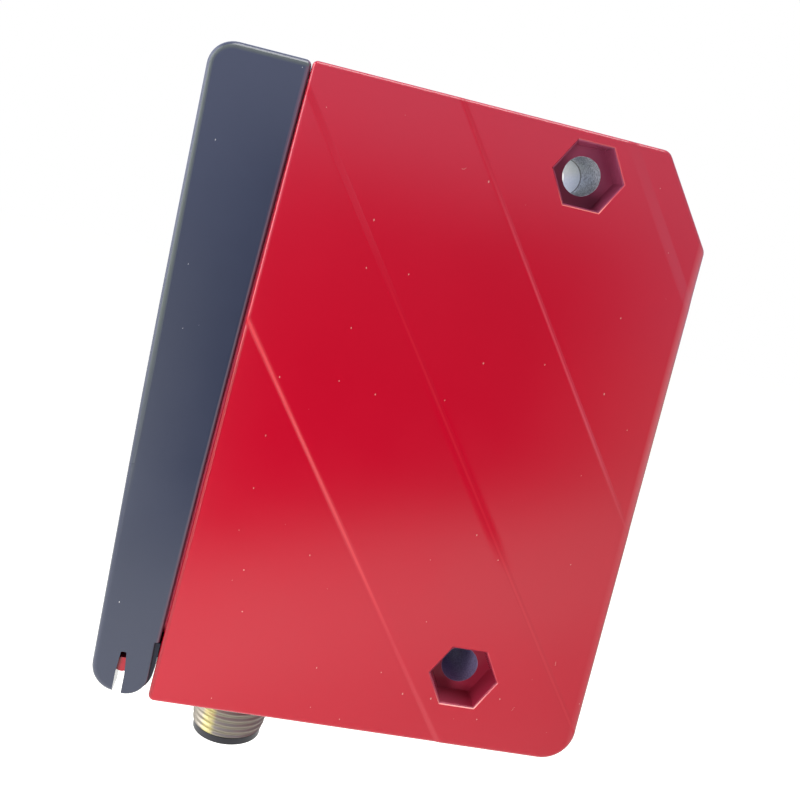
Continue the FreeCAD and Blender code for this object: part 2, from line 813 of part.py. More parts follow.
def indicator_leds():
    """Two small light sources behind the indicator guides."""
    half = indicator_size / 2
    leds = []
    for y in (-guide_spread, guide_spread):
        leds.append(block(optics_rear, optics_rear + indicator_thickness, y - half, y + half,
                          guide_z - half, guide_z + half))
    return leds


def light_guide(y):
    """Clear rod that carries an indicator's light to the front."""
    start = V(optics_rear + indicator_thickness + guide_gap, y, guide_z)
    return rod(guide_radius, start, V(pane_seat, y, guide_z))


def board_link():
    """Pin header that joins the two boards."""
    middle = (receiver_z + emitter_z) / 2
    return block(optics_board_rear - link_depth, optics_board_rear, board_face - link_width, board_face,
                 middle - link_length / 2, middle + link_length / 2)


def window_pane():
    """Flat front window."""
    front = body_depth - pane_setback
    return rounded_block(front - pane_thickness, front, window_half - pane_fit, window_low + pane_fit,
                         window_high - pane_fit, window_corner)


def window_seal():
    """Thin frame on which the pane is bonded."""
    outer = rounded_block(pane_seat, pane_seat + window_seal_thickness, window_half - pane_fit,
                          window_low + pane_fit, window_high - pane_fit, window_corner)
    inner = rounded_block(0, body_depth, flange_half, flange_low, flange_high, window_corner)
    return one_solid(outer.cut(inner))


def at_connector(z):
    """Point on the connector's axis."""
    return V(connector_x, 0, z)


def connector_shell():
    """Turned plug sleeve: thread, collar against the housing and a stem for the nut inside."""
    solid = rod(thread_radius, at_connector(lead_in_length - thread_length), at_connector(shell_top))
    lead_in = cone(lead_in_radius, thread_radius, at_connector(-thread_length),
                   at_connector(lead_in_length - thread_length))
    collar = rod(collar_flange_radius, at_connector(collar_bottom), at_connector(collar_top))
    bore = rod(shell_bore, at_connector(-2 * thread_length), at_connector(2 * thread_length))
    return one_solid(solid.fuse(lead_in).fuse(collar).cut(bore))


def connector_seal():
    """Flat ring between the connector's collar and the housing."""
    ring = rod(collar_flange_radius, at_connector(collar_top), at_connector(0))
    hole = rod(thread_radius + shell_hole_fit, at_connector(collar_bottom), at_connector(wall))
    return one_solid(ring.cut(hole))


def connector_nut():
    """Hexagon nut inside the housing that draws the connector tight."""
    radius = nut_flats / math.sqrt(3)
    angles = [math.radians(60 * step + 30) for step in range(7)]
    rim = [at_connector(wall) + V(radius * math.cos(a), radius * math.sin(a), 0) for a in angles]
    solid = Part.Face(Part.makePolygon(rim)).extrude(V(0, 0, nut_thickness))
    return one_solid(solid.cut(rod(thread_radius + nut_fit, at_connector(0), at_connector(shell_top + wall))))


def pin_places():
    """Middles of the contact pins round the connector's axis."""
    angles = [math.radians(45 + 360 * index / pin_count) for index in range(pin_count)]
    return [V(connector_x + pin_circle * math.cos(a), pin_circle * math.sin(a), 0) for a in angles]


def contact_carrier():
    """Black insert: a keyed socket with a rim at the tip, closed by the base that holds the pins."""
    solid = rod(shell_bore - carrier_fit, at_connector(-thread_length), at_connector(carrier_top))
    solid = solid.fuse(rod(carrier_rim_radius, at_connector(carrier_tip), at_connector(-thread_length)))
    solid = solid.cut(rod(socket_radius, at_connector(carrier_tip), at_connector(carrier_tip + socket_depth)))
    half_key = key_width / 2
    key = block(connector_x - half_key, connector_x + half_key, socket_radius - key_depth,
                socket_radius + carrier_fit, carrier_tip + carrier_rim, carrier_tip + socket_depth)
    solid = solid.fuse(key)
    for place in pin_places():
        solid = solid.cut(rod(pin_radius, place + V(0, 0, carrier_tip), place + V(0, 0, carrier_top)))
    return one_solid(solid)


def contact_pins():
    """Contact pins with rounded tips, soldered into the connector board."""
    pins = []
    for place in pin_places():
        low = place + V(0, 0, carrier_tip + pin_setback + pin_radius)
        pin = rod(pin_radius, low, place + V(0, 0, carrier_top + pin_tail))
        pins.append(one_solid(pin.fuse(Part.makeSphere(pin_radius, low))))
    return pins


def connector_board():
    """Round board on the pins' tails, cut flat where it meets the main board."""
    solid = rod(connector_board_radius, at_connector(connector_board_low), at_connector(connector_board_high))
    solid = solid.common(block(0, body_depth, -half_width, board_face, 0, body_height))
    for place in pin_places():
        solid = solid.cut(rod(pin_radius + pin_board_fit, place, place + V(0, 0, body_height)))
    return one_solid(solid)


os.makedirs("parts", exist_ok=True)

keep("housing", housing())
keep("rear_cover", rear_cover())
keep("control_panel", control_panel())
keep("panel_seal", panel_seal())
keep("panel_screws", *panel_screws())
keep("sensitivity_adjuster", control_knob(adjuster_height, True))
keep("light_dark_selector", control_knob(selector_height, False))
keep("adjuster_body", control_body(adjuster_height))
keep("selector_body", control_body(selector_height))
keep("main_board", main_board())
keep("board_screws", *[small_screw(place, V(0, 1, 0), board_screw_length) for place in board_screw_places()])
keep("board_link", board_link())
keep("optics_board", optics_board())
keep("optics_screws", *[small_screw(V(optics_board_rear, y, z), V(1, 0, 0), optics_screw_length)
                        for y, z in optics_screw_places()])
keep("optics_block", optics_block())
keep("emitter_lens", emitter_lens())
keep("receiver_lens", receiver_lens())
keep("emitter_led", emitter_led())
keep("receiver_diode", receiver_diode())
keep("indicator_leds", *indicator_leds())
keep("power_light_guide", light_guide(-guide_spread))
keep("output_light_guide", light_guide(guide_spread))
keep("window_pane", window_pane())
keep("window_seal", window_seal())
keep("connector_shell", connector_shell())
keep("connector_seal", connector_seal())
keep("connector_nut", connector_nut())
keep("contact_carrier", contact_carrier())
keep("contact_pins", *contact_pins())
keep("connector_board", connector_board())
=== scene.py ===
# %% [markdown]
# # A diffuse photoelectric sensor
# The sensor is a red die-cast box with a black cover hinged at its back and a round threaded plug below.
# The CAD frame already holds every piece at its true size. This lesson gives each piece its finish, cuts
# the plug's thread, prints the scales behind the cover and lights the whole as in the photograph. Lengths
# are written in millimetres, and MM turns them into Blender's metres.

# %% Load the frame
import math

import bpy
import numpy as np
from mathutils import Euler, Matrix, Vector


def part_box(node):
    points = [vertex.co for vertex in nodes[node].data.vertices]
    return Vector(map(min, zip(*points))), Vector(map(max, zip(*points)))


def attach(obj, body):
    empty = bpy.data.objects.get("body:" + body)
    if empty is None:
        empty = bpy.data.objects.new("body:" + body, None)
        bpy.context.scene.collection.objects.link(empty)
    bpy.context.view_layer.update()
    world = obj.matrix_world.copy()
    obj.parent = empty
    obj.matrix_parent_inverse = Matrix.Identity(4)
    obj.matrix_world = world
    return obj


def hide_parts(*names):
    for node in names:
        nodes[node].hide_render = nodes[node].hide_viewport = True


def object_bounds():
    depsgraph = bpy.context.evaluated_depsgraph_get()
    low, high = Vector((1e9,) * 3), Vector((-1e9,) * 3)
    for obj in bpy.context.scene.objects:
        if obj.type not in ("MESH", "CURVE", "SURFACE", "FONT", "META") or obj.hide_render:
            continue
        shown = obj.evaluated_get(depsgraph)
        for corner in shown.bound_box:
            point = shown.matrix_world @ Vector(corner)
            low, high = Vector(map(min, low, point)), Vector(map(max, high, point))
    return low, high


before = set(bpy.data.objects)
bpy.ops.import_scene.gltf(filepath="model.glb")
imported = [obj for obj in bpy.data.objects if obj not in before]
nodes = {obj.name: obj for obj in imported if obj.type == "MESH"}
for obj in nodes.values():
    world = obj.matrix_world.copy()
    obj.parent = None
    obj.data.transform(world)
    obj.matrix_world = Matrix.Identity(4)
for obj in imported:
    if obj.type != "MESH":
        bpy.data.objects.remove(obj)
cad_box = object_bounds()
MM = 0.001
scene = bpy.context.scene
print("CAD box, mm:", [round(x / MM, 1) for corner in cad_box for x in corner])

# %% [markdown]
# ## The camera
# The photograph was taken from close by, so near edges look longer than far ones. A camera placed by eye
# would miss that, so the place, turn and lens were worked out from the housing's straight edges and its
# fixing holes. A small shift of the frame stands for the way the picture was cropped.

# %% Camera at the photograph's viewing angle
camera_place = Vector((-34.072, -146.704, 28.209)) * MM
camera_turn = Euler([math.radians(a) for a in (81.4707, -13.1906, -7.4316)], "XYZ")
camera_data = bpy.data.cameras.new("photo_camera")
camera_data.lens = 44.471
camera_data.sensor_width = 36.0
camera_data.shift_x = -0.0666
camera_data.shift_y = -0.0516
camera_data.clip_start = 0.01
camera = bpy.data.objects.new("photo_camera", camera_data)
camera.location = camera_place
camera.rotation_euler = camera_turn
scene.collection.objects.link(camera)
scene.camera = camera
print("camera is", round(camera_place.length / MM), "mm from the fixing holes' middle")


# %% [markdown]
# ## Nets of nodes
# Blender describes light, paint and plastic by nets of nodes. They could be wired one by one, but the
# same few steps come back in every net. The class below holds one net and gives each of these steps a
# short call.

# %% Net helper
class Net:
    """The nodes and links of one world or material, and short calls for the steps that nets share."""

    def __init__(self, owner):
        owner.use_nodes = True
        self.nodes = owner.node_tree.nodes
        self.links = owner.node_tree.links

    def node(self, kind, **values):
        """Node of one kind, with its properties set."""
        made = self.nodes.new("ShaderNode" + kind)
        for name, value in values.items():
            setattr(made, name, value)
        return made

    def math(self, operation, first, second=0.0):
        """Result of one sum; numbers are set on the node, other values are wired to it."""
        made = self.node("Math", operation=operation)
        for socket, value in zip(made.inputs, (first, second)):
            if isinstance(value, (int, float)):
                socket.default_value = value
            else:
                self.links.new(value, socket)
        return made.outputs[0]

    def product(self, first, *others):
        """All the values times one another."""
        for other in others:
            first = self.math("MULTIPLY", first, other)
        return first

    def largest(self, first, *others):
        """The largest of the values."""
        for other in others:
            first = self.math("MAXIMUM", first, other)
        return first

    def spread(self, value, low, high, to_low, to_high, course="LINEAR"):
        """Value mapped from one range to another, and kept inside it."""
        made = self.node("MapRange", interpolation_type=course)
        for socket, number in zip(list(made.inputs)[1:5], (low, high, to_low, to_high)):
            socket.default_value = number
        self.links.new(value, made.inputs["Value"])
        return made.outputs["Result"]

    def pick(self, factor, first, second):
        """First shader where the factor is 0, second where it is 1."""
        made = self.node("MixShader")
        for socket, value in zip(made.inputs, (factor, first, second)):
            self.links.new(value, socket)
        return made.outputs[0]


print("CAD nodes to be finished:", len(nodes))

# %% [markdown]
# ## White surroundings
# The background of the photograph is plain white. A picture of a studio could stand there, but plain
# colours keep every reflection simple. The world gives white to the camera, and a white with a little sky
# in it to reflections. Light that falls on the object from the world is weaker, so that the lamps can
# shape it.

# %% World
scene.view_settings.view_transform = "Standard"
world = bpy.data.worlds.new("white_studio")
scene.world = world
world_net = Net(world)
world_net.nodes.clear()


def world_light(colour, strength):
    """Background shader of one colour and strength."""
    made = world_net.node("Background")
    made.inputs["Color"].default_value = (*colour, 1)
    made.inputs["Strength"].default_value = strength
    return made.outputs[0]


ray = world_net.node("LightPath").outputs
in_mirrors = world_net.math("MAXIMUM", ray["Is Glossy Ray"], ray["Is Transmission Ray"])
sky = world_net.pick(in_mirrors, world_light((1, 1, 1.06), 0.34), world_light((0.94, 1, 1.3), 1.0))
sky = world_net.pick(ray["Is Camera Ray"], sky, world_light((1, 1, 1), 1.0))
world_net.links.new(sky, world_net.node("OutputWorld").inputs["Surface"])
print("world:", len(world_net.nodes), "nodes")


# %% [markdown]
# ## Floor
# The floor lies well below the sensor, so its shadow is wide and faint. It is a grid of places: rows and
# columns of points with four-cornered faces between them. The card and the larger new pieces are grids
# too, so one helper serves all. A ring or tube is a grid whose last row or column is joined to the first.

# %% Floor sheet
def grid_mesh(name, grid, close_rows=False, close_columns=False):
    """Mesh of a grid of places, rows by columns by three; closing joins the last row or column to the first.
    Each face takes its corners from two rows and two columns that lie next to one another."""
    rows, columns = grid.shape[:2]
    index = np.arange(rows * columns).reshape(rows, columns)
    if close_rows:
        index = np.vstack([index, index[:1]])
    if close_columns:
        index = np.hstack([index, index[:, :1]])
    faces = np.stack([index[:-1, :-1], index[:-1, 1:], index[1:, 1:], index[1:, :-1]], -1).reshape(-1, 4)
    mesh = bpy.data.meshes.new(name)
    mesh.from_pydata(grid.reshape(-1, 3).tolist(), [], faces.tolist())
    mesh.update()
    thing = bpy.data.objects.new(name, mesh)
    scene.collection.objects.link(thing)
    return thing


floor_drop = 230.0
floor_reach = 3000.0
edge = np.array([-floor_reach, floor_reach]) * MM
floor_x, floor_y = np.meshgrid(edge, edge)
floor_z = np.full_like(floor_x, cad_box[0].z - floor_drop * MM)
floor = grid_mesh("pale_floor", np.stack([floor_x, floor_y, floor_z], -1))
print("floor lies", floor_drop, "mm under the plug")

# %% [markdown]
# ## White of the floor
# More light would make the floor as white as the background, but it would bleach the object too. So the
# floor's paint glows a little, only where the camera or a reflection sees it, and still takes the shadow.

# %% Floor paint
floor_glow = 0.76
floor_paint = bpy.data.materials.new("floor_white")
floor_net = Net(floor_paint)
floor_shader = floor_net.nodes["Principled BSDF"]
floor_shader.inputs["Base Color"].default_value = (0.8, 0.8, 0.8, 1)
floor_shader.inputs["Roughness"].default_value = 0.9
floor_shader.inputs["Specular IOR Level"].default_value = 0.0
floor_shader.inputs["Emission Color"].default_value = (1, 1, 0.93, 1)
floor_ray = floor_net.node("LightPath").outputs
floor_seen = floor_net.largest(floor_ray["Is Camera Ray"], floor_ray["Is Glossy Ray"],
                               floor_ray["Is Transmission Ray"])
floor_light = floor_net.product(floor_seen, floor_glow)
floor_net.links.new(floor_light, floor_shader.inputs["Emission Strength"])
floor.data.materials.append(floor_paint)
print("floor:", len(floor_net.nodes), "nodes")

# %% [markdown]
# ## Dark card
# The red face of the photograph is deep in the middle and paler at its top and bottom, because glossy
# paint shows whatever stood in front of it. Painting the shade on would fix it to the face. A black card
# with soft edges, behind the camera and never seen by it, gives the same depth as a reflection. Its foot
# is thin, and makes the lower edge of the face a little deeper too.

# %% Dark card
card_y = -400.0
card_sides = np.array([-200.0, 260.0])
card_ends = np.array([-285.0, 120.0])
card_x, card_z = np.meshgrid(card_sides, card_ends)
card = grid_mesh("dark_card", np.stack([card_x, np.full_like(card_x, card_y), card_z], -1) * MM)
card.visible_camera = False
card.visible_transmission = False
card.visible_shadow = False
print("card stands", round(-card_y), "mm in front of the sensor")

# %% Shade of the card
card_slope = 0.35
foot_strength = 0.38
card_black = bpy.data.materials.new("card_black")
card_net = Net(card_black)
card_net.nodes.clear()
card_place = card_net.node("SeparateXYZ")
card_net.links.new(card_net.node("TexCoord").outputs["Object"], card_place.inputs[0])


def card_edge(value, clear, solid, least=0.0):
    """Soft edge: least where value is at clear, 1 where it is at solid, both in millimetres."""
    low, high = sorted((clear, solid))
    at_low, at_high = (1.0, least) if clear > solid else (least, 1.0)
    return card_net.spread(value, low * MM, high * MM, at_low, at_high, "SMOOTHSTEP")


card_right = card_place.outputs["X"]
card_up = card_place.outputs["Z"]
card_rise = card_net.math("SUBTRACT", card_up, card_net.product(card_right, card_slope))
shade_up = card_net.product(card_edge(card_up, 85, 5), card_edge(card_up, 20, -115, 0.9))
shade_up = card_net.product(shade_up, card_edge(card_rise, -187, -133))
shade_right = card_net.product(card_edge(card_right, -125, -60), card_edge(card_right, 230, 90))
shade_foot = card_net.product(card_edge(card_rise, -222, -275), foot_strength)
card_shade = card_net.largest(card_net.product(shade_up, shade_right), shade_foot)
card_clear = card_net.node("BsdfTransparent")
card_matt = card_net.node("BsdfDiffuse")
card_matt.inputs["Color"].default_value = (0.01, 0.01, 0.01, 1)
card_skin = card_net.pick(card_shade, card_clear.outputs[0], card_matt.outputs[0])
card_net.links.new(card_skin, card_net.node("OutputMaterial").inputs["Surface"])
card.data.materials.append(card_black)
print("card:", len(card_net.nodes), "nodes")

# %% [markdown]
# ## Lamps
# The lower left of the face is the brightest and its far corners are dimmer. One large lamp would light
# them alike, so a small lamp stands in front of the face at the left, and panels fill from above, from
# the left and from behind. All these stay out of reflections, where they would leave hard spots. Two more
# panels are seen only in reflections: the upper one draws the bright lines along the top edges and in the
# rims of the pockets, and the left one draws the lines down the rear edges of the red box and the cover.


# %% Soft lamps
def soft_lamp(name, place, target, size, radiance, mirrored=False):
    """Square lamp facing target, lengths in mm; its power is pi times its area times its brightness.
    It lights matt surfaces only, or shows in reflections only."""
    data = bpy.data.lights.new(name, "AREA")
    data.size = size * MM
    data.energy = math.pi * (size * MM) ** 2 * radiance
    thing = bpy.data.objects.new(name, data)
    thing.location = Vector(place) * MM
    thing.rotation_euler = (Vector(target) - Vector(place)).to_track_quat("-Z", "Y").to_euler()
    thing.visible_camera = False
    thing.visible_glossy = mirrored
    thing.visible_diffuse = not mirrored
    scene.collection.objects.link(thing)


soft_lamp("face_lamp", (-100, -160, -60), (-30, -15, -10), 60, 16.5)
soft_lamp("top_fill", (0, -80, 600), (-10, 0, 0), 460, 4.0)
soft_lamp("left_fill", (-600, -60, 190), (-20, 0, 60), 460, 4.0)
soft_lamp("back_fill", (10, 420, 160), (-15, 0, 0), 400, 2.5)
soft_lamp("top_mirror", (0, -250, 600), (0, -15, 0), 440, 5.0, mirrored=True)
soft_lamp("left_mirror", (-600, -110, 180), (-20, 0, 60), 560, 3.8, mirrored=True)


# %% [markdown]
# ## Finishes
# Paint, plastic and metal all change a little over a surface. Pictures of them could be wrapped round
# each piece, but nets on Object coordinates need no wrapping, and their grain keeps its true size. The
# class below is a net with the shader of one finish and the steps that finishes share.

# %% Finish helper
class Finish(Net):
    """One material with its shader, and short calls for the nodes that finishes share."""

    def __init__(self, name):
        self.material = bpy.data.materials.new(name)
        super().__init__(self.material)
        self.shader = self.nodes["Principled BSDF"]
        self.place = self.node("TexCoord").outputs["Object"]

    def set(self, **values):
        """Constant values, straight on the shader's sockets; underscores stand for spaces."""
        for name, value in values.items():
            self.shader.inputs[name.replace("_", " ")].default_value = value

    def give(self, name, value):
        """Value that varies over the surface, wired to one of the shader's sockets."""
        self.links.new(value, self.shader.inputs[name])

    def axis(self, letter):
        """Distance along X, Y or Z."""
        made = self.node("SeparateXYZ")
        self.links.new(self.place, made.inputs[0])
        return made.outputs[letter]

    def along(self, letter, low, high, to_low, to_high):
        """Value that goes from to_low to to_high between two places on an axis, in millimetres."""
        return self.spread(self.axis(letter), low * MM, high * MM, to_low, to_high)

    def beyond(self, distance):
        """1 where the surface lies more than this many millimetres out from the middle plane, else 0."""
        return self.math("GREATER_THAN", self.math("ABSOLUTE", self.axis("Y")), distance * MM)

    def within(self, distance):
        """1 where the surface lies less than this many millimetres out from the middle plane, else 0."""
        return self.math("LESS_THAN", self.math("ABSOLUTE", self.axis("Y")), distance * MM)

    def stretch(self, scale, turn=(0, 0, 0)):
        """Place scaled along its axes and turned by degrees, for grain that runs one way."""
        made = self.node("Mapping")
        made.inputs["Scale"].default_value = scale
        made.inputs["Rotation"].default_value = [math.radians(a) for a in turn]
        self.links.new(self.place, made.inputs["Vector"])
        return made.outputs["Vector"]

    def noise(self, feature, detail=2.0, place=None):
        """Noise whose blobs are about feature millimetres across."""
        made = self.node("TexNoise")
        made.inputs["Scale"].default_value = 1.0 / (feature * MM)
        made.inputs["Detail"].default_value = detail
        self.links.new(place or self.place, made.inputs["Vector"])
        return made.outputs["Fac"]

    def mix(self, factor, first, second):
        """Colour between first and second."""
        made = self.node("Mix", data_type="RGBA")
        self.links.new(factor, made.inputs["Factor"])
        for socket, value in ((made.inputs[6], first), (made.inputs[7], second)):
            if isinstance(value, tuple):
                socket.default_value = (*value, 1)
            else:
                self.links.new(value, socket)
        return made.outputs[2]

    def bump(self, height, depth):
        """Bump of at most depth millimetres."""
        made = self.node("Bump")
        made.inputs["Strength"].default_value = 1.0
        made.inputs["Distance"].default_value = depth * MM
        self.links.new(height, made.inputs["Height"])
        self.links.new(made.outputs["Normal"], self.shader.inputs["Normal"])


def dress(finish, *names):
    """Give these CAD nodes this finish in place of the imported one."""
    for name in names:
        mesh = nodes[name].data
        mesh.materials.clear()
        mesh.materials.append(finish.material)
    print(finish.material.name, "on", ", ".join(names))


# %% [markdown]
# ## Dust
# Specks and short hairs lie on the paint and on the cover. They could be tiny meshes, but those would weigh
# the model down, so they are pale spots in the finish. Specks sit in some cells of a scattered grid. A hair
# is a thin level line of a noise, kept only inside a few scattered spots.

# %% Dust and hairs
def specks(finish, pitch, size, share, place=None, dimensions="3D"):
    """Dust: 1 where the distance from a cell's point is under a reach of up to size millimetres, else 0."""
    cells = finish.node("TexVoronoi", voronoi_dimensions=dimensions)
    cells.inputs["Scale"].default_value = 1.0 / (pitch * MM)
    finish.links.new(place or finish.place, cells.inputs["Vector"])
    picked = finish.node("SeparateColor")
    finish.links.new(cells.outputs["Color"], picked.inputs[0])
    reach = finish.math("MULTIPLY", picked.outputs[1], size / pitch)
    inside = finish.math("LESS_THAN", cells.outputs["Distance"], reach)
    chosen = finish.math("LESS_THAN", picked.outputs[0], share)
    return finish.math("MULTIPLY", inside, chosen)


def side_dust(finish, pitch, size, share, from_y):
    """Dust that lies flat on the two side faces, which begin from_y millimetres out from the middle."""
    flat = specks(finish, pitch, size, share, finish.stretch((1, 1, 0.55), (90, 0, 0)), "2D")
    return finish.math("MULTIPLY", finish.beyond(from_y), flat)


def hairs(finish, half_line=0.008):
    """Short curled hairs: 1 where a noise is within half a line of its middle value, inside a few spots."""
    level = finish.math("SUBTRACT", finish.noise(1.3, 0.0), 0.5)
    line = finish.math("LESS_THAN", finish.math("ABSOLUTE", level), half_line)
    return finish.math("MULTIPLY", line, specks(finish, 6.0, 0.75, 0.45))


dusty_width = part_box("housing")[1].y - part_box("housing")[0].y
print("dust lies on side faces", round(dusty_width / MM, 1), "mm apart")

# %% [markdown]
# ## Red enamel
# The die-cast box is painted a deep glossy red. A photograph of paint could be laid on it, but noise on
# Object coordinates stays sharp from any distance. Baked paint is never quite even, so its colour drifts
# a little and its skin is faintly rippled. Dust and short hairs lie on it.

# %% Red enamel
side_from = 14.4
enamel = Finish("red_enamel")
enamel.set(IOR=1.6)
cloud = enamel.noise(22.0, 3.0)
red = enamel.mix(cloud, (0.53, 0.0030, 0.021), (0.57, 0.0040, 0.025))
flat_dust = side_dust(enamel, 4.5, 0.09, 0.4, side_from)
dust = enamel.largest(specks(enamel, 3.4, 0.17, 0.4), flat_dust, hairs(enamel))
red = enamel.mix(dust, red, (0.70, 0.30, 0.27))
skin = enamel.spread(cloud, 0.3, 0.7, 0.14, 0.19)
enamel.bump(enamel.noise(1.2, 2.0), 0.003)
print("enamel:", len(enamel.nodes), "nodes so far")

# %% [markdown]
# ## Front and rear edges of the red box
# The front edges of both side faces are painted a paler red, a painted highlight that is strongest at mid
# height. Along the lower half of the rear edges the red is painted deeper, as painted shade from the cover.
# Wider rounding would catch more real light, but it would change the shape. So each edge is a soft stripe
# of another red, placed by its distance from the edge. The rear edge leans with the seam, and its stripe too.

# %% Front edge
front_width = 1.3
front_core = 0.15
outside = enamel.beyond(side_from)
front_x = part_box("housing")[1].x / MM
front_edge_highlight = enamel.along("X", front_x - front_width, front_x - front_core, 0.0, 1.0)
front_low = enamel.along("Z", -16, 0, 0.3, 1.0)
front_high = enamel.along("Z", 27, 38, 1.0, 0.3)
# Painted highlight: paler red along the front edges of both side faces, strongest at mid height.
red = enamel.mix(enamel.product(front_edge_highlight, front_low, front_high, outside), red, (0.62, 0.15, 0.17))
print("front edge at", round(front_x, 2), "mm")

# %% Rear edge
rear_core = 0.3
rear_width = 0.65
seam_rear = -43.40
seam_bottom_z = -47.55
seam_height = 90.25
seam_foot_depth = 8.25
seam_top_depth = 12.95
seam_lean = math.atan((seam_top_depth - seam_foot_depth) / seam_height)


def before_seam(finish):
    """Distance in front of the leaning seam: X from its foot times the lean's cosine, less Z from its foot
    times the lean's sine."""
    ahead = finish.math("SUBTRACT", finish.axis("X"), seam_rear * MM)
    risen = finish.math("SUBTRACT", finish.axis("Z"), seam_bottom_z * MM)
    ahead = finish.math("MULTIPLY", ahead, math.cos(seam_lean))
    return finish.math("SUBTRACT", ahead, finish.math("MULTIPLY", risen, math.sin(seam_lean)))


# Painted shade: deeper red along the lower rear edges, where the cover shades them.
rear_edge_shade = enamel.spread(before_seam(enamel), rear_core * MM, rear_width * MM, 1.0, 0.0)
rear_low = enamel.along("Z", 0, 10, 1.0, 0.0)
red = enamel.mix(enamel.product(rear_edge_shade, rear_low, outside), red, (0.36, 0.002, 0.014))
print("seam leans", round(math.degrees(seam_lean), 2), "degrees")

# %% [markdown]
# ## Paint on the slanting steps
# Low steps slant across both side faces. Thin paler lines along three of the steps are a painted highlight,
# for the light that their ramps catch. On the side that faces the camera, parts of the ramps also mirror
# less than the flats do. Higher steps would show too, but as wider lines than the photograph has. The
# distance across the steps comes from turning the face by their lean.

# %% Step lines
step_lean = math.radians(35)
first_step = -28.3
second_step = -9.35
third_step = 8.85
step_x = enamel.math("MULTIPLY", enamel.axis("X"), math.cos(step_lean))
step_z = enamel.math("MULTIPLY", enamel.axis("Z"), math.sin(step_lean))
across_steps = enamel.math("ADD", step_x, step_z)


def step_line(place, half):
    """Soft line along a step: 1 near its place across the steps, 0 from half its width on, in millimetres."""
    off = enamel.math("ABSOLUTE", enamel.math("SUBTRACT", across_steps, place * MM))
    line = enamel.spread(off, 0.5 * half * MM, half * MM, 1.0, 0.0)
    return enamel.math("MULTIPLY", line, outside)


first_step_highlight = enamel.product(step_line(first_step, 0.25), enamel.along("Z", -33, -24, 0.0, 1.0))
second_step_highlight = enamel.product(step_line(second_step, 0.2), enamel.along("Z", 10, 20, 1.0, 0.0))
third_fade = enamel.product(enamel.along("Z", -6, 4, 0.35, 1.0), enamel.along("Z", 20, 34, 1.0, 0.2))
third_step_highlight = enamel.product(step_line(third_step, 0.2), third_fade)
# Painted highlight: paler red along three of the steps.
red = enamel.mix(first_step_highlight, red, (0.66, 0.026, 0.042))
red = enamel.mix(second_step_highlight, red, (0.60, 0.010, 0.03))
red = enamel.mix(third_step_highlight, red, (0.66, 0.032, 0.055))
print("step lines at", first_step, second_step, third_step, "mm across the steps")

# %% Duller ramps
first_dull = enamel.product(step_line(first_step, 0.6), enamel.along("Z", -8, 2, 0.0, 0.5))
second_ends = enamel.product(enamel.along("Z", -20, -14, 0.0, 0.85), enamel.along("Z", 1, 6, 1.0, 0.0))
second_dull = enamel.product(step_line(second_step, 1.2), second_ends)
second_faint = enamel.product(step_line(second_step, 0.65), enamel.along("Z", -20, -14, 0.0, 0.55))
third_dull = enamel.product(step_line(third_step, 0.55), enamel.along("Z", 3, 12, 0.0, 0.55))
dulled = enamel.largest(first_dull, second_dull, second_faint, third_dull)
dulled = enamel.math("MULTIPLY", dulled, enamel.math("LESS_THAN", enamel.axis("Y"), 0.0))
print("enamel:", len(enamel.nodes), "nodes so far")

# %% [markdown]
# ## Nut pockets of the red box
# The nut pockets are sunk too deep to catch much light, so their paint is a dull maroon: painted shade, in
# its own tint for each pocket. Their rear side is painted lighter, to make up for the lamp's shadow there.
# Each rim has a thin painted highlight, paler on the lower sides. Both pockets lie equally far from the
# middle, so one hexagon does for both: the larger of the distances towards its flats.

# %% Hexagon pockets
bolt_half_span = 36.8
rim_inner = 4.44
rim_outer = 4.58
hole_x = enamel.math("ABSOLUTE", enamel.axis("X"))
hole_height = enamel.math("MULTIPLY", enamel.math("SIGN", enamel.axis("Z")), bolt_half_span * MM)
hole_z = enamel.math("SUBTRACT", enamel.axis("Z"), hole_height)
hole_up = enamel.math("ABSOLUTE", hole_z)
slanted = enamel.math("MULTIPLY", hole_x, math.cos(math.pi / 6))
slanted = enamel.math("ADD", slanted, enamel.math("MULTIPLY", hole_up, math.sin(math.pi / 6)))
flats = enamel.math("MAXIMUM", hole_up, slanted)
sunk = enamel.math("LESS_THAN", flats, rim_inner * MM)
rim = enamel.math("SUBTRACT", enamel.math("LESS_THAN", flats, rim_outer * MM), sunk)
rim = enamel.math("MULTIPLY", rim, outside)
print("pockets", round(2 * rim_inner, 2), "mm across flats")

# %% Pocket paint
upper = enamel.math("GREATER_THAN", enamel.axis("Z"), 0.0)
# Painted shade: dull maroon in the pockets, painted lighter towards the rear where the lamp leaves shadow.
rear_pocket_light = enamel.along("X", -4, 2, 1.0, 0.0)
upper_pocket_shade = enamel.mix(rear_pocket_light, (0.27, 0.043, 0.095), (0.46, 0.085, 0.16))
lower_pocket_shade = enamel.mix(rear_pocket_light, (0.29, 0.018, 0.042), (0.52, 0.075, 0.13))
red = enamel.mix(sunk, red, enamel.mix(upper, lower_pocket_shade, upper_pocket_shade))
# Painted highlight: the pocket rims are paler red, most of all on their lower sides.
rim_highlight = enamel.spread(hole_z, -4.2 * MM, -2.0 * MM, 1.0, 0.0)
red = enamel.mix(rim, red, enamel.mix(rim_highlight, (0.58, 0.03, 0.05), (0.90, 0.22, 0.20)))
print("enamel:", len(enamel.nodes), "nodes so far")
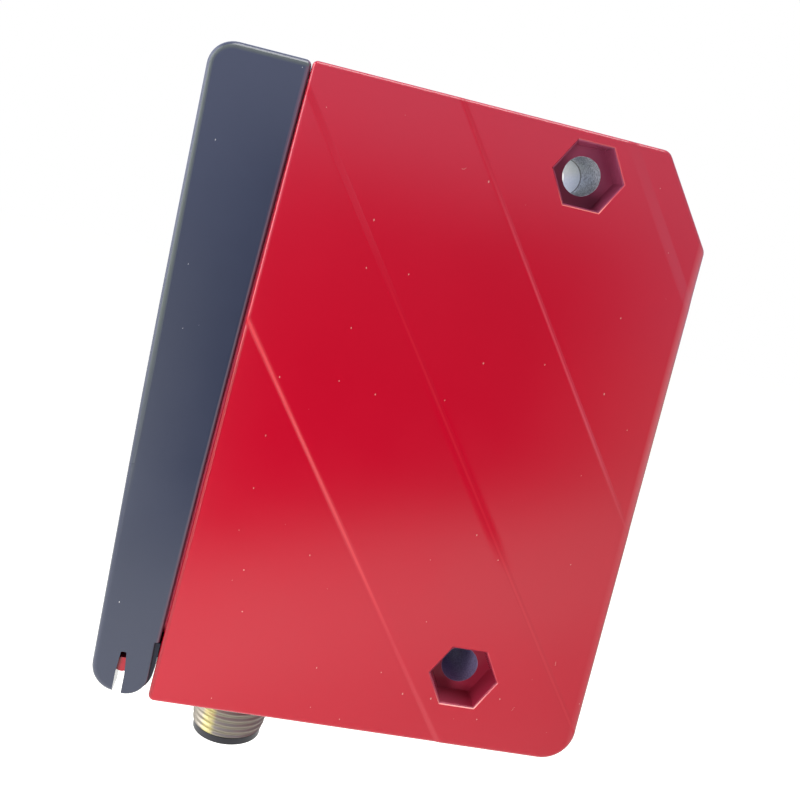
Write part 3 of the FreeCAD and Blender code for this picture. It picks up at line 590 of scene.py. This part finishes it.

# %% [markdown]
# ## Bare bores of the red box
# The fixing bores are left as bare metal. The upper one is pale and pitted, with a dark line at its
# middle; its far half is painted paler than its near half, a painted highlight of the light through the
# far opening. The lower one is painted in bluish shade. They could be pieces of their own, but they
# belong to the casting, so its finish changes inside the bores' radius.

# %% Bare bores
bare_radius = 2.73
line_half = 0.4
hole_square = enamel.math("ADD", enamel.product(hole_x, hole_x), enamel.product(hole_z, hole_z))
bare = enamel.math("LESS_THAN", enamel.math("SQRT", hole_square), bare_radius * MM)
pits = enamel.spread(enamel.noise(0.28, 3.0), 0.4, 0.6, 0.0, 1.0)
near_grey = enamel.mix(pits, (0.31, 0.34, 0.37), (0.88, 0.93, 0.96))
# Painted highlight: the far half of the upper bore is paler than its near half.
far_lit_grey = enamel.mix(pits, (0.80, 0.85, 0.87), (0.93, 0.97, 0.98))
grey = enamel.mix(enamel.along("Y", -0.05, 0.05, 0.0, 1.0), near_grey, far_lit_grey)
grey = enamel.mix(enamel.within(line_half), grey, (0.02, 0.02, 0.025))
# Painted shade: bluish grey for the lower bore.
shade = enamel.mix(pits, (0.23, 0.185, 0.34), (0.35, 0.29, 0.49))
enamel.give("Base Color", enamel.mix(bare, red, enamel.mix(upper, shade, grey)))
print("bores", round(2 * bare_radius, 2), "mm wide are bare")

# %% Shine of paint, pockets and bores
bore_metal = 0.35
bore_rough = 0.3
bright = enamel.product(bare, upper)
dulled = enamel.math("MAXIMUM", dulled, enamel.math("SUBTRACT", sunk, bright))
enamel.give("Metallic", enamel.product(bright, bore_metal))
enamel.give("Specular IOR Level", enamel.spread(dulled, 0.0, 1.0, 0.5, 0.1))
enamel.give("Roughness", enamel.math("ADD", enamel.product(bare, bore_rough), skin))
dress(enamel, "housing")

# %% [markdown]
# ## Black cover
# The cover is moulded in black plastic with a fine satin grain. One flat black would look like a hole
# beside the bright paint. So its colour is a slightly blue black that drifts a little, as it looks under
# daylight, and it holds dust and hairs as the paint does.

# %% Black cover
cover_side_from = 14.5
satin_cover = Finish("satin_black_cover")
satin_cover.set(IOR=1.65)
tone = satin_cover.noise(15.0, 3.0)
black = satin_cover.mix(tone, (0.031, 0.039, 0.073), (0.038, 0.047, 0.085))
cover_dust = side_dust(satin_cover, 5.0, 0.09, 0.4, cover_side_from)
cover_dust = satin_cover.largest(cover_dust, hairs(satin_cover))
black = satin_cover.mix(cover_dust, black, (0.5, 0.5, 0.52))
satin = satin_cover.spread(tone, 0.3, 0.7, 0.16, 0.21)
satin_cover.bump(satin_cover.noise(0.18, 1.0), 0.005)
print("cover:", len(satin_cover.nodes), "nodes so far")

# %% [markdown]
# ## Edges of the cover
# Along the seam the cover's edge is painted purple, a painted reflection of the red paint beside it. Its
# upper rear edge and the round corner above are painted paler, a painted highlight, and made duller. The
# distance from the middle of that corner, counted only backwards and upwards, gives one stripe for the
# rear edge, the corner and the top.

# %% Cover's seam edge
seam_side = 14.1
seam_reflection = satin_cover.spread(before_seam(satin_cover), -0.85 * MM, -0.45 * MM, 0.0, 1.0)
seam_reflection = satin_cover.product(seam_reflection, satin_cover.beyond(seam_side))
# Painted reflection: purple along the cover's seam edge, from the red box beside it.
black = satin_cover.mix(seam_reflection, black, (0.15, 0.08, 0.12))
print("cover:", len(satin_cover.nodes), "nodes so far")

# %% Cover's rear edge highlight
highlight_side = 14.6
corner_x = -48.28
corner_z = 39.1
corner_round = 3.5
highlight_width = 1.05
highlight_core = 0.7
corner_back = satin_cover.math("SUBTRACT", corner_x * MM, satin_cover.axis("X"))
corner_back = satin_cover.math("MAXIMUM", corner_back, 0.0)
corner_up = satin_cover.math("SUBTRACT", satin_cover.axis("Z"), corner_z * MM)
corner_up = satin_cover.math("MAXIMUM", corner_up, 0.0)
corner_square = satin_cover.product(corner_back, corner_back)
corner_square = satin_cover.math("ADD", corner_square, satin_cover.product(corner_up, corner_up))
corner_reach = satin_cover.math("SQRT", corner_square)
highlight_from = (corner_round - highlight_width) * MM
highlight_to = (corner_round - highlight_core) * MM
highlighted = satin_cover.spread(corner_reach, highlight_from, highlight_to, 0.0, 1.0)
highlighted = satin_cover.product(highlighted, satin_cover.along("Z", -22, 8, 0.0, 1.0))
rear_edge_highlight = satin_cover.product(highlighted, satin_cover.beyond(highlight_side))
# Painted highlight: paler black on the flat beside the upper rear edge and its corner.
black = satin_cover.mix(rear_edge_highlight, black, (0.080, 0.095, 0.090))
rear_edge_dulling = satin_cover.product(highlighted, satin_cover.spread(corner_back, 1.5 * MM, 2.6 * MM, 0.0, 0.3))
satin_cover.give("Roughness", satin_cover.math("ADD", satin, rear_edge_dulling))
print("rubbed edge", highlight_width, "mm wide")

# %% [markdown]
# ## Ears of the cover
# The front of the two lower ears lies in the shade of the red box. Less light there would darken the box
# too, so the plastic itself is darker and shines less, inside a block of space round that front.

# %% Cover ears
ear_side = 14.35
ear_top_z = -38.7
ear_front_x = -46.2
ear_low = satin_cover.math("LESS_THAN", satin_cover.axis("Z"), ear_top_z * MM)
ear_front = satin_cover.math("GREATER_THAN", satin_cover.axis("X"), ear_front_x * MM)
ear_shade = satin_cover.product(satin_cover.within(ear_side), ear_low, ear_front)
satin_cover.give("Base Color", satin_cover.mix(ear_shade, black, (0.012, 0.014, 0.028)))
satin_cover.give("Specular IOR Level", satin_cover.spread(ear_shade, 0.0, 1.0, 0.5, 0.2))
dress(satin_cover, "rear_cover")


# %% [markdown]
# ## Moulded plastics and rubber
# The pieces behind the cover and window are plain mouldings. They could share one material, but real ones
# come from different plastics. One function gives each its own colour that drifts a little, a fine grain
# and a roughness that changes over the surface.

# %% Mouldings
def moulding(name, dark, light, smooth, rough, grain=0.25, depth=0.004):
    """Plastic or rubber between two colours and two roughnesses, with a grain in millimetres."""
    made = Finish(name)
    drift = made.noise(6.0, 3.0)
    fine = made.noise(grain, 2.0)
    made.give("Base Color", made.mix(drift, dark, light))
    made.give("Roughness", made.spread(fine, 0.3, 0.7, smooth, rough))
    made.bump(fine, depth)
    return made


dress(moulding("panel_grey", (0.055, 0.058, 0.064), (0.075, 0.078, 0.085), 0.4, 0.55), "control_panel")
dress(moulding("seal_rubber_black", (0.012, 0.012, 0.013), (0.022, 0.022, 0.024), 0.65, 0.85, 0.4, 0.01),
      "panel_seal", "window_seal", "connector_seal")
dress(moulding("knob_pale_grey", (0.55, 0.55, 0.53), (0.64, 0.64, 0.61), 0.35, 0.5),
      "sensitivity_adjuster", "light_dark_selector")
dress(moulding("control_case_blue", (0.02, 0.10, 0.32), (0.03, 0.13, 0.38), 0.3, 0.45),
      "adjuster_body", "selector_body")
dress(moulding("optics_block_black", (0.014, 0.014, 0.015), (0.025, 0.025, 0.027), 0.55, 0.75),
      "optics_block")
dress(moulding("carrier_black", (0.010, 0.010, 0.014), (0.018, 0.018, 0.024), 0.35, 0.5), "contact_carrier")
dress(moulding("link_cream", (0.62, 0.58, 0.46), (0.70, 0.66, 0.54), 0.35, 0.5), "board_link")
dress(moulding("diode_black", (0.012, 0.010, 0.012), (0.022, 0.016, 0.02), 0.12, 0.22), "receiver_diode")


# %% [markdown]
# ## Metals
# The plug's sleeve and its nut are nickel plated, the small screws are zinc plated and the contacts are
# gold. Turned metal keeps fine rings from the tool, and plating dulls unevenly. The rings could be cut in
# the mesh, but they are so fine that a bump from stretched noise does as well.

# %% Plated metals
def plating(name, dark, light, smooth, rough, grain=0.12, depth=0.002):
    """Metal between two tones and two roughnesses, with fine rings along Z from turning."""
    made = Finish(name)
    made.set(Metallic=1.0)
    stain = made.noise(2.5, 4.0)
    rings = made.noise(grain, 2.0, made.stretch((0.08, 0.08, 1.0)))
    made.tone = made.mix(stain, dark, light)
    made.give("Base Color", made.tone)
    made.give("Roughness", made.spread(stain, 0.3, 0.7, smooth, rough))
    made.bump(rings, depth)
    return made


nickel = plating("nickel_plate", (0.28, 0.25, 0.20), (0.38, 0.345, 0.28), 0.4, 0.55)
dress(nickel, "connector_nut")
dress(plating("zinc_plate", (0.50, 0.51, 0.50), (0.66, 0.67, 0.66), 0.25, 0.4),
      "panel_screws", "board_screws", "optics_screws")
dress(plating("contact_gold", (0.80, 0.56, 0.22), (0.92, 0.68, 0.32), 0.18, 0.3), "contact_pins")

# %% [markdown]
# ## Circuit boards
# The boards are glass laminate under green lacquer, with copper tracks that show as paler lines. The
# tracks could be drawn one by one, but the boards are only glimpsed. So two sets of narrow stripes, each
# kept to patches by noise, stand for them.

# %% Boards
board_green = Finish("board_green")
board_green.set(IOR=1.5)
weave = board_green.noise(0.7, 2.0)
track_pitch = 1.27
track_share = 0.3
across = board_green.math("FRACT", board_green.math("DIVIDE", board_green.axis("X"), track_pitch * MM))
upward = board_green.math("FRACT", board_green.math("DIVIDE", board_green.axis("Z"), track_pitch * MM))
patch = board_green.noise(9.0, 0.0)
track_up = board_green.product(board_green.math("LESS_THAN", across, track_share),
                               board_green.math("GREATER_THAN", patch, 0.53))
track_across = board_green.product(board_green.math("LESS_THAN", upward, track_share),
                                   board_green.math("LESS_THAN", patch, 0.46))
tracks = board_green.math("MAXIMUM", track_up, track_across)
lacquer = board_green.mix(weave, (0.008, 0.085, 0.03), (0.012, 0.11, 0.04))
lacquer = board_green.mix(tracks, lacquer, (0.03, 0.2, 0.07))
pads = specks(board_green, 2.4, 0.5, 0.25)
board_green.give("Base Color", board_green.mix(pads, lacquer, (0.62, 0.6, 0.55)))
board_green.give("Metallic", pads)
board_green.give("Roughness", board_green.spread(weave, 0.3, 0.7, 0.25, 0.4))
board_green.bump(tracks, 0.02)
dress(board_green, "main_board", "optics_board", "connector_board")


# %% [markdown]
# ## Clear pieces
# Lenses, light guides, the diode's dome and the dark red front pane let light through. Perfect glass
# would be simpler, but clear plastic always has faint waves and a little haze. So roughness and tint
# drift over it.

# %% Clear plastics
def clear_plastic(name, tint, deeper, haze, index=1.49):
    """See-through plastic between two tints, with a haze that drifts up to the given roughness."""
    made = Finish(name)
    made.set(Transmission_Weight=1.0, IOR=index)
    drift = made.noise(8.0, 2.0)
    made.give("Base Color", made.mix(drift, tint, deeper))
    made.give("Roughness", made.spread(drift, 0.3, 0.7, haze * 0.4, haze))
    made.bump(made.noise(4.0, 1.0), 0.003)
    return made


dress(clear_plastic("lens_clear", (0.97, 0.97, 0.96), (0.93, 0.94, 0.93), 0.03),
      "emitter_lens", "receiver_lens")
dress(clear_plastic("window_dark_red", (0.42, 0.012, 0.016), (0.36, 0.009, 0.013), 0.04), "window_pane")
dress(clear_plastic("guide_green", (0.10, 0.72, 0.22), (0.07, 0.62, 0.17), 0.2), "power_light_guide")
dress(clear_plastic("guide_yellow", (0.95, 0.68, 0.05), (0.88, 0.58, 0.03), 0.2), "output_light_guide")
dress(clear_plastic("diode_dome", (0.92, 0.9, 0.88), (0.86, 0.83, 0.8), 0.1), "emitter_led")
dress(moulding("indicator_resin", (0.78, 0.76, 0.66), (0.86, 0.84, 0.74), 0.25, 0.4), "indicator_leds")

# %% [markdown]
# ## The plug's thread
# The CAD sleeve is plain, at the thread's outer size, and the real one has a fine screw thread. A Screw
# modifier could wind it, but a formula also gives the tapered start and the end under the collar. The
# sleeve is one skin: its section is carried round the axis, and on the threaded length the radius rises
# and falls with the height plus the part of a turn, which makes a helix.

# %% Shape of the threaded sleeve
thread_pitch = 1.0
thread_depth = 0.24
thread_outer = 5.9
thread_start = 0.25
thread_end_gap = 0.02
lead_in = 3.5
lead_in_depth = 0.5
runout = 0.7
collar_radius = 7.6
collar_low = 7.4
collar_high = 9.2
collar_foot = 0.25
bevel = 0.2
bore_radius = 4.9
bore_middle = 6.0
tip_flat = 5.0
tip_edge = 5.1
tip_bevel = 0.12
bore_bevel = 0.15
sleeve_low, sleeve_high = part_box("connector_shell")
sleeve_x = (sleeve_low.x + sleeve_high.x) / 2 / MM
sleeve_tip = sleeve_low.z / MM
sleeve_top = (sleeve_high.z - sleeve_low.z) / MM


def sleeve_grid(turns=160, steps=18):
    """Radius along the section: bore, tip, thread, collar and stem. On the thread the radius is the outer one,
    less a taper at the tip, less the depth times a wave of height over pitch plus angle over a full turn."""
    angle = np.linspace(0, 2 * np.pi, turns, endpoint=False)
    height = np.linspace(thread_start, collar_low - thread_end_gap, int(collar_low * steps))
    turn_phase = 2 * np.pi * height[:, None] / thread_pitch + angle[None, :]
    groove = 0.5 - 0.5 * np.cos(turn_phase)
    fade = np.clip((collar_low - height) / runout, 0, 1)[:, None]
    deep = 1 - fade + fade * groove
    cone = thread_outer - lead_in_depth * np.clip(1 - height / lead_in, 0, 1)
    thread = cone[:, None] - thread_depth * deep
    start = [(bore_radius, sleeve_top), (bore_radius, bore_middle), (bore_radius, bore_bevel),
             (bore_radius + tip_bevel, 0.0), (tip_flat, 0.0), (tip_edge, tip_bevel)]
    end = [(collar_radius - collar_foot, collar_low), (collar_radius, collar_low + collar_foot),
           (collar_radius, collar_high - bevel), (collar_radius - bevel, collar_high),
           (thread_outer, collar_high), (thread_outer, sleeve_top - bevel),
           (thread_outer - bevel, sleeve_top)]
    mouth = np.array(start)
    stem = np.array(end)
    radius = np.vstack([np.repeat(mouth[:, :1], turns, 1), thread, np.repeat(stem[:, :1], turns, 1)])
    level = np.concatenate([mouth[:, 1], height, stem[:, 1]])
    x = sleeve_x + radius * np.cos(angle)
    y = radius * np.sin(angle)
    z = sleeve_tip + np.repeat(level[:, None], turns, 1)
    return np.stack([x, y, z], -1) * MM


sleeve = grid_mesh("threaded_sleeve", sleeve_grid(), True, True)
sleeve.data.shade_smooth()
sleeve.data.set_sharp_from_angle(angle=math.radians(50))
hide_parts("connector_shell")
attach(sleeve, "body")
print("thread:", len(sleeve.data.polygons), "faces, tip at", round(sleeve_tip, 2), "mm")

# %% [markdown]
# ## The sleeve's plating
# The nickel of the sleeve is darker towards the front. A yellowish streak down the side that faces the
# camera is a painted highlight. Both are soft changes of the metal's colour across the plug.

# %% Sleeve plating
streak_back = 2.9
streak_core = 0.5
streak_half = 1.1
darkening_span = 5.0
sleeve_nickel = plating("sleeve_nickel", (0.27, 0.24, 0.19), (0.37, 0.335, 0.27), 0.4, 0.55)
off_streak = sleeve_nickel.math("SUBTRACT", sleeve_nickel.axis("X"), (sleeve_x - streak_back) * MM)
off_streak = sleeve_nickel.math("ABSOLUTE", off_streak)
streak = sleeve_nickel.spread(off_streak, streak_core * MM, streak_half * MM, 1.0, 0.0)
streak = sleeve_nickel.product(streak, sleeve_nickel.math("LESS_THAN", sleeve_nickel.axis("Y"), 0.0))
front_darkening = sleeve_nickel.along("X", sleeve_x, sleeve_x + darkening_span, 0.0, 1.0)
darker_front = sleeve_nickel.mix(front_darkening, sleeve_nickel.tone, (0.18, 0.14, 0.125))
# Painted highlight: yellowish streak on the side that faces the camera.
sleeve_nickel.give("Base Color", sleeve_nickel.mix(streak, darker_front, (0.52, 0.46, 0.21)))
sleeve.data.materials.append(sleeve_nickel.material)
print("sleeve_nickel:", len(sleeve_nickel.nodes), "nodes")

# %% [markdown]
# ## The lip behind the cover's edge
# A low lip of the casting runs round the neck under the cover's edge and keeps dust out of the seam. It
# is what shows as a dull red strip between the two; its duller, purpler red than the box's enamel is
# painted shade. A plain frame would fill the gap unevenly, so the lip is one closed band: a small section
# carried along a rounded rectangle on the leaning seam, thinner where the seam is narrower.

# %% Seam lip
neck_half = 13.0
neck_low = 9.9
neck_high = 88.35
lip_reach = 0.75
lip_root = 0.3
lip_front = 0.2
lip_clearance = 0.09
gap_foot = 0.3
gap_taper = 0.18
gap_bow = 0.88


def on_seam(ahead, across, up):
    """Places by distance in front of the seam, across its width and up its leaning height, in millimetres:
    X and Z are those two lengths turned by the lean."""
    x = seam_rear + ahead * math.cos(seam_lean) + up * math.sin(seam_lean)
    z = seam_bottom_z - ahead * math.sin(seam_lean) + up * math.cos(seam_lean)
    return np.stack([x, across, z], -1) * MM


def lip_grid(corner=1.5, quarter=8, steps=40):
    """Section of four corners carried along a rounded rectangle. Its thickness is the seam's gap less a
    clearance, and the gap is a straight taper plus a bow that is widest at half height."""
    arc = np.linspace(0, np.pi / 2, quarter)
    turn = np.concatenate([arc + k * np.pi / 2 for k in range(4)])
    across = neck_half - corner
    top = neck_high - corner
    foot = neck_low + corner
    middle_side = np.repeat(np.array([1, -1, -1, 1]) * across, quarter)
    middle_up = np.repeat(np.array([top, top, foot, foot]), quarter)
    rise = np.linspace(top, foot, steps)[1:-1]
    level = np.ones_like(rise)
    half = 2 * quarter
    turn = np.concatenate([turn[:half], np.pi * level, turn[half:], 2 * np.pi * level])
    middle_side = np.concatenate([middle_side[:half], -across * level, middle_side[half:], across * level])
    middle_up = np.concatenate([middle_up[:half], rise, middle_up[half:], rise[::-1]])
    share = middle_up / seam_height
    thick = gap_foot - gap_taper * share + gap_bow * share * (1 - share) - lip_clearance
    reach = corner + np.array([-lip_root, lip_reach, lip_reach, -lip_root])
    front = np.full_like(thick, lip_front)
    depth = np.stack([front, front, -thick, -thick], -1)
    side = middle_side[:, None] + reach * np.cos(turn)[:, None]
    up = middle_up[:, None] + reach * np.sin(turn)[:, None]
    return on_seam(depth, side, up)


seam_lip = grid_mesh("seam_lip", lip_grid(), True, True)
# Painted shade: the lip is a duller, purpler red than the box's enamel, for the shade of the narrow seam.
lip_painted_shade = moulding("lip_painted_shade", (0.55, 0.048, 0.10), (0.63, 0.06, 0.12), 0.35, 0.5)
seam_lip.data.materials.append(lip_painted_shade.material)
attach(seam_lip, "body")
print("seam lip:", len(seam_lip.data.polygons), "faces")

# %% [markdown]
# ## Scales on the control panel
# Each knob behind the cover has a printed arc with ticks. A print has no thickness to speak of, so it is
# a thin skin laid just above the panel, in white ink that is worn a little thin.

# %% Panel scales
panel_face = -1.5
print_lift = 0.02
adjuster_up = 62.0
selector_up = 38.0
arc_inner = 4.7
arc_outer = 4.95
tick_outer = 6.1
tick_foot = 1.6
tick_head = 1.3


def scale_quads(height, start, stop, ticks, arc_points=61):
    """Four-cornered patches of one scale: a thin arc between two angles, and ticks outside it. A place is the
    knob's middle plus the reach times the sine of the angle across, and its cosine up."""
    turn = np.radians(np.linspace(start, stop, arc_points))
    arc = np.stack([turn[:-1], turn[1:], turn[1:], turn[:-1]], -1)
    arc_reach = np.broadcast_to([arc_inner, arc_inner, arc_outer, arc_outer], arc.shape)
    mark = np.radians(np.linspace(start, stop, ticks))[:, None]
    mark = mark + np.radians([-tick_foot, tick_foot, tick_head, -tick_head])
    mark_reach = np.broadcast_to([arc_outer, arc_outer, tick_outer, tick_outer], mark.shape)
    angle = np.vstack([arc, mark])
    reach = np.vstack([arc_reach, mark_reach])
    return on_seam(panel_face - print_lift, -reach * np.sin(angle), height + reach * np.cos(angle))


scales = np.concatenate([scale_quads(adjuster_up, -135, 135, 11), scale_quads(selector_up, 0, 90, 2)])
scale_faces = np.arange(len(scales) * 4).reshape(-1, 4)
scale_mesh = bpy.data.meshes.new("panel_scales")
scale_mesh.from_pydata(scales.reshape(-1, 3).tolist(), [], scale_faces.tolist())
scale_mesh.update()
panel_scales = bpy.data.objects.new("panel_scales", scale_mesh)
scene.collection.objects.link(panel_scales)
scale_ink = moulding("scale_ink_white", (0.66, 0.66, 0.64), (0.8, 0.8, 0.78), 0.5, 0.7)
scale_mesh.materials.append(scale_ink.material)
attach(panel_scales, "body")
print("scales:", len(scale_faces), "patches")
